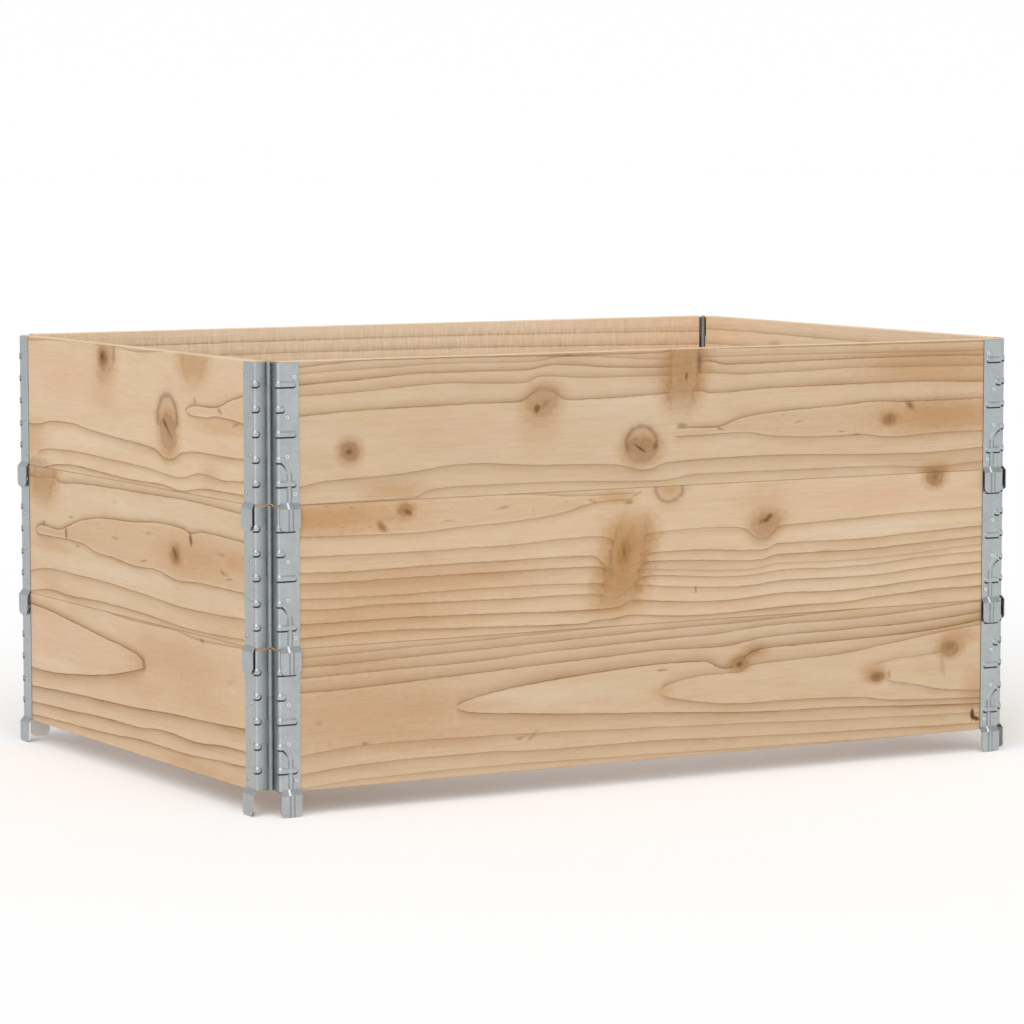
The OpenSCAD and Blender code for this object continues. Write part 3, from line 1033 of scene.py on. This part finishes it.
def edge_colour(board, colour):
    """The colour with dark board ends, partly darker end grain and partly painted shade, thin seams between
    boards, and painted light on the upward faces of the top boards.
    """
    graph = board.graph
    ends = board.near_ends(board.along, board.length, *END_DARKENING)
    rims = board.near_ends(board.up, BOARD_HEIGHT, *RIM)
    # Partly darker end grain and partly painted shade: each board's ends, and the inner faces beside them in
    # the corners, go near black, except close to the upper and lower edges.
    colour = graph.blend(ends * (1 - rims * RIM_SHARE), colour, END_GRAIN_AND_SHADE)
    if board.level == "top":
        seam = graph.smooth(board.up, *SEAM)
        # Painted light: the upward faces of the top boards are painted a paler cream, as if lit from above.
        facing_up = graph.smooth(graph.facing()[2], *TOP_FACING)
        colour = graph.blend(facing_up * TOP_LIGHT_SHARE, colour, TOP_FACE_PAINTED_LIGHT)
    else:
        seam = board.near_ends(board.up, BOARD_HEIGHT, *SEAM)
    between = 1 - board.near_ends(board.along, board.length, *PLATE_COVER)
    return graph.blend(seam * between * SEAM_SHARE, colour, SEAMWOOD)


def wood_material(level, side):
    material, shader, graph = new_material(f"{level}_{side}_softwood")
    board = Board(graph, level, side)
    knots, halo, hidden = knot_tones(board)
    aboves = above_lines(board)
    inside = inside_lens(board, aboves)
    late = grain_tone(board, aboves) * graph.smooth(hidden, 1.0, 0.0)
    cracks = crack_tone(board)

    colour = ground_colour(board)
    colour = graph.blend(inside * board.wood.lens_amount, colour, TINTS["warm"])
    colour = graph.blend(halo, colour, HALOWOOD)
    colour = graph.blend(late + faint_tone(board, inside), colour, LATEWOOD)
    colour = graph.blend(knots, colour, KNOTWOOD)
    colour = graph.blend(cracks, colour, CRACK)
    colour = graph.brighten(colour, surface_light(board, late))
    colour = edge_colour(board, colour)

    graph.feed(shader.inputs["Base Color"], colour)
    roughness = board.fibre * FIBRE_ROUGHNESS - late * LINE_GLOSS + WOOD_ROUGHNESS
    graph.feed(shader.inputs["Roughness"], roughness)
    shader.inputs["Specular IOR Level"].default_value = WOOD_SPECULAR
    height = late * LINE_HEIGHT + board.fibre * FIBRE_HEIGHT + board.saw * SAW_HEIGHT
    add_relief(graph, shader, height - cracks * CRACK_DEPTH, WOOD_RELIEF)
    return material


# Metal

ZINC = srgb(182, 187, 188)
ZINC_BRIGHT = srgb(192, 196, 197)
ZINC_DULL = srgb(166, 171, 173)
ZINC_PAINTED_SHADE = srgb(50, 54, 56)
STEEL = srgb(188, 190, 191)
STEEL_DARK = srgb(150, 151, 152)
# Near-white colours that are painted light: a painted highlight on the nail heads and painted light on the
# tab insides.
PAINTED_LIGHT_WHITE = srgb(246, 247, 246)
PAINTED_LIGHT_WHITE_DULL = srgb(222, 222, 220)

# Where painted shade and painted light start and where they are full, in millimetres from a pin or by the way
# a surface faces.
PIN_SHADE_REACH = (17, 3)
UPRIGHT_SHADE_REACH = (-8, -11)
SIDEWAYS = (0.08, 0.3)
UP_OR_DOWN = (0.03, 0.1)
DOWNWARDS = (-0.04, -0.32)
INWARDS = (-0.4, -0.8)
PIN_SHADE_SHARE = 0.34
RIB_SHADE_SHARE = 0.4
UNDERSIDE_SHADE_SHARE = 0.92
TAB_EDGE = 4
NAIL_CUP = (0.25, 0.5)

CLOUD = Noise((30, 30, 45), 4, 0.6)
SCRATCH = Noise((0.7, 0.7, 26), 2)
PATCH = Noise((6, 6, 9), 3)
MARKS = Noise((2, 2, 0.6), 2)
CLOUD_EDGE = (-0.5, 0.6)
PATCH_EDGE = (-0.6, 0.5)
SPANGLE = 4.5
SPANGLE_SHARE = 0.35

# The metal's gloss, and its relief in metres with its parts.
SHEET_ROUGHNESS = 0.36
CLOUD_ROUGHNESS = 0.08
SPANGLE_ROUGHNESS = 0.06
SCRATCH_ROUGHNESS = 0.04
PIN_ROUGHNESS = 0.4
NAIL_ROUGHNESS = 0.3
PATCH_ROUGHNESS = 0.1
MARKS_ROUGHNESS = 0.06
SHEET_RELIEF = 0.00006
CLOUD_HEIGHT = 0.5
SCRATCH_HEIGHT = 0.2
WIRE_RELIEF = 0.00004

pin_low, pin_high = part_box("bottom_pin_back_right")
PIN_X = (pin_low[0] + pin_high[0]) / 2 * MM_PER_M
PIN_Y = (pin_low[1] + pin_high[1]) / 2 * MM_PER_M
TAB_TOP = board_low[2] * MM_PER_M


def metal_noise(graph, place, kind):
    parts = [spot / size for spot, size in zip(place, kind.size)]
    return graph.noise(parts, kind.detail, kind.roughness)


def galvanised_material():
    """Zinc-coated sheet: a faint spangle, cloudy dulling and scratches, with painted shade near the pins,
    beside the upright ribs and on faces that point down, and painted light on the inner faces of the tabs.
    """
    material, shader, graph = new_material("galvanised_sheet")
    place = graph.position()
    x, y, z = place
    cloud = metal_noise(graph, place, CLOUD)
    spangle = graph.cells([spot / SPANGLE for spot in place])
    scratch = metal_noise(graph, place, SCRATCH)
    colour = graph.blend(graph.smooth(cloud, *CLOUD_EDGE), ZINC_DULL, ZINC)
    colour = graph.blend(spangle * SPANGLE_SHARE, colour, ZINC_BRIGHT)
    off_pin_x = graph.math("ABSOLUTE", x) - PIN_X
    off_pin_y = graph.math("ABSOLUTE", y) - PIN_Y
    from_pin = graph.root(off_pin_x * off_pin_x + off_pin_y * off_pin_y)
    # Painted shade: the sheet darkens towards the pins, in the corner where the hinge barrels sit.
    colour = graph.blend(graph.smooth(from_pin, *PIN_SHADE_REACH) * PIN_SHADE_SHARE, colour, ZINC_PAINTED_SHADE)
    nx, ny, nz = graph.facing()
    # Painted shade: dark lines on the sideways-facing flanks of the upright ribs, away from the pins.
    upright_side = graph.smooth(off_pin_x, *UPRIGHT_SHADE_REACH) * graph.smooth(graph.math("ABSOLUTE", nx), *SIDEWAYS)
    level_side = graph.smooth(graph.math("ABSOLUTE", nz), *UP_OR_DOWN)
    colour = graph.blend(upright_side * (1 - level_side) * RIB_SHADE_SHARE, colour, ZINC_PAINTED_SHADE)
    # Painted shade: faces that point down, such as the lower flanks of the ribs and the lower edges, are
    # darkened.
    colour = graph.blend(graph.smooth(nz, *DOWNWARDS) * UNDERSIDE_SHADE_SHARE, colour, ZINC_PAINTED_SHADE)
    # Painted light: the inner faces of the tabs on the front and back plates, below the boards, are painted
    # near-white.
    inward = graph.smooth(ny * graph.math("SIGN", y), *INWARDS)
    colour = graph.blend(inward * graph.smooth(z, TAB_TOP, TAB_TOP - TAB_EDGE), colour, PAINTED_LIGHT_WHITE)
    graph.feed(shader.inputs["Base Color"], colour)
    uneven = cloud * CLOUD_ROUGHNESS + spangle * SPANGLE_ROUGHNESS + scratch * SCRATCH_ROUGHNESS
    graph.feed(shader.inputs["Roughness"], uneven + SHEET_ROUGHNESS)
    shader.inputs["Metallic"].default_value = 1
    add_relief(graph, shader, cloud * CLOUD_HEIGHT + scratch * SCRATCH_HEIGHT, SHEET_RELIEF)
    return material


def steel_material(name, bright, dull, roughness, nails=None, side=None):
    """Drawn steel wire with dull patches and marks round the wire. The cups in nail heads are dull."""
    material, shader, graph = new_material(name)
    place = graph.position()
    patch = metal_noise(graph, place, PATCH)
    marks = metal_noise(graph, place, MARKS)
    colour = graph.blend(graph.smooth(patch, *PATCH_EDGE), dull, bright)
    if nails:
        deep = board_coordinates(graph, nails, side)[2]
        colour = graph.blend(graph.smooth(deep, *NAIL_CUP), colour, ZINC_DULL)
    graph.feed(shader.inputs["Base Color"], colour)
    uneven = patch * PATCH_ROUGHNESS + marks * MARKS_ROUGHNESS
    graph.feed(shader.inputs["Roughness"], uneven + roughness)
    shader.inputs["Metallic"].default_value = 1
    add_relief(graph, shader, marks, WIRE_RELIEF)
    return material


def dress(node, material):
    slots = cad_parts[node].data.materials
    slots.clear()
    slots.append(material)


sheet = galvanised_material()
pin_steel = steel_material("pin_steel", STEEL, STEEL_DARK, PIN_ROUGHNESS)
for side in SIDES:
    # Painted light: nail heads on the front and back are painted near-white as a painted highlight, and those
    # on the left and right get the darker zinc colours as painted shade.
    side_bright, side_dull = (PAINTED_LIGHT_WHITE, PAINTED_LIGHT_WHITE_DULL) if side in LONG_SIDES else (ZINC, ZINC_DULL)
    nails = f"bottom_{side}_nails"
    nail_steel = steel_material(f"nail_steel_{side}", side_bright, side_dull, NAIL_ROUGHNESS, nails, side)
    for level in LEVELS:
        dress(f"{level}_{side}_board", wood_material(level, side))
        dress(f"{level}_{side}_nails", nail_steel)
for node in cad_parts:
    if "_leaf_" in node:
        dress(node, sheet)
    if "_pin_" in node:
        dress(node, pin_steel)


# Stage, light and camera

FLOOR_SIZE = 120
FLOOR_COLOUR = srgb(255, 255, 255)
SUN_ANGLE = math.radians(70)
SUN_STRENGTH = 1.6
SUN_FROM = Vector((-0.55, -0.6, 1.0))
DIM_WALL = Vector((-0.9, 0.44, 0.0))
DIM_EDGE = (0.45, 0.95)
DIM_TOP = (0.75, 0.15)
DIM_SHARE = 0.55
BRIGHT_WALL = Vector((-0.55, -0.8, 0.25))
BRIGHT_EDGE = (0.85, 0.98)
BRIGHT_GLOW = 0.7
SKY_LEVELS = ((0.0, 1.0), (0.5, 1.0), (0.62, 0.98), (0.85, 0.5), (1.0, 0.45))

CAMERA_PLACE = Vector((-3.0187, -5.2693, 0.9324))
CAMERA_TURN = math.radians(29.85)
CAMERA_TILT = math.radians(5.45)
FOCAL_PIXELS = 4037
PHOTO_WIDTH = 1024
SENSOR = 36


def make_floor():
    material, shader, _ = new_material("pale_floor")
    shader.inputs["Base Color"].default_value = FLOOR_COLOUR
    shader.inputs["Roughness"].default_value = 1
    shader.inputs["Specular IOR Level"].default_value = 0
    half = FLOOR_SIZE / 2
    corners = [(-half, -half, 0), (half, -half, 0), (half, half, 0), (-half, half, 0)]
    mesh = bpy.data.meshes.new("floor")
    mesh.from_pydata(corners, [], [(0, 1, 2, 3)])
    mesh.materials.append(material)
    floor = bpy.data.objects.new("floor", mesh)
    floor.location.z = cad_low.z
    bpy.context.scene.collection.objects.link(floor)


def make_sky():
    """White at eye level and dimmer overhead, with a dim wall at the back left and a bright one in front."""
    world = bpy.data.worlds.new("studio")
    world.use_nodes = True
    graph = Graph(world.node_tree)
    coordinates = graph.add("TexCoord")
    split = graph.add("SeparateXYZ")
    graph.feed(split.inputs[0], coordinates.outputs["Generated"])
    x, y, z = [Num(graph, socket) for socket in split.outputs]
    level = graph.profile(z * 0.5 + 0.5, SKY_LEVELS)
    towards_dim = x * DIM_WALL.x + y * DIM_WALL.y
    towards_bright = x * BRIGHT_WALL.x + y * BRIGHT_WALL.y + z * BRIGHT_WALL.z
    dim = graph.smooth(towards_dim, *DIM_EDGE) * graph.smooth(z, *DIM_TOP) * DIM_SHARE
    glow = graph.smooth(towards_bright, *BRIGHT_EDGE) * BRIGHT_GLOW
    level = level * (1 - dim) + glow
    graph.feed(world.node_tree.nodes["Background"].inputs["Color"], graph.vector(level, level, level))
    bpy.context.scene.world = world


def make_sun():
    light = bpy.data.lights.new("soft_sun", "SUN")
    light.energy = SUN_STRENGTH
    light.angle = SUN_ANGLE
    sun = bpy.data.objects.new("soft_sun", light)
    sun.rotation_mode = "QUATERNION"
    sun.rotation_quaternion = SUN_FROM.to_track_quat("Z", "Y")
    bpy.context.scene.collection.objects.link(sun)


def make_camera():
    lens = bpy.data.cameras.new("camera")
    lens.sensor_width = SENSOR
    lens.lens = SENSOR * FOCAL_PIXELS / PHOTO_WIDTH
    lens.clip_end = 2 * FLOOR_SIZE
    camera = bpy.data.objects.new("camera", lens)
    ahead = Vector((math.sin(CAMERA_TURN), math.cos(CAMERA_TURN), 0)) * math.cos(CAMERA_TILT)
    aim = ahead - Vector((0, 0, math.sin(CAMERA_TILT)))
    camera.location = CAMERA_PLACE
    camera.rotation_mode = "QUATERNION"
    camera.rotation_quaternion = aim.to_track_quat("-Z", "Y")
    bpy.context.scene.collection.objects.link(camera)
    bpy.context.scene.camera = camera


make_floor()
make_sky()
make_sun()
make_camera()
bpy.context.scene.view_settings.view_transform = "Standard"
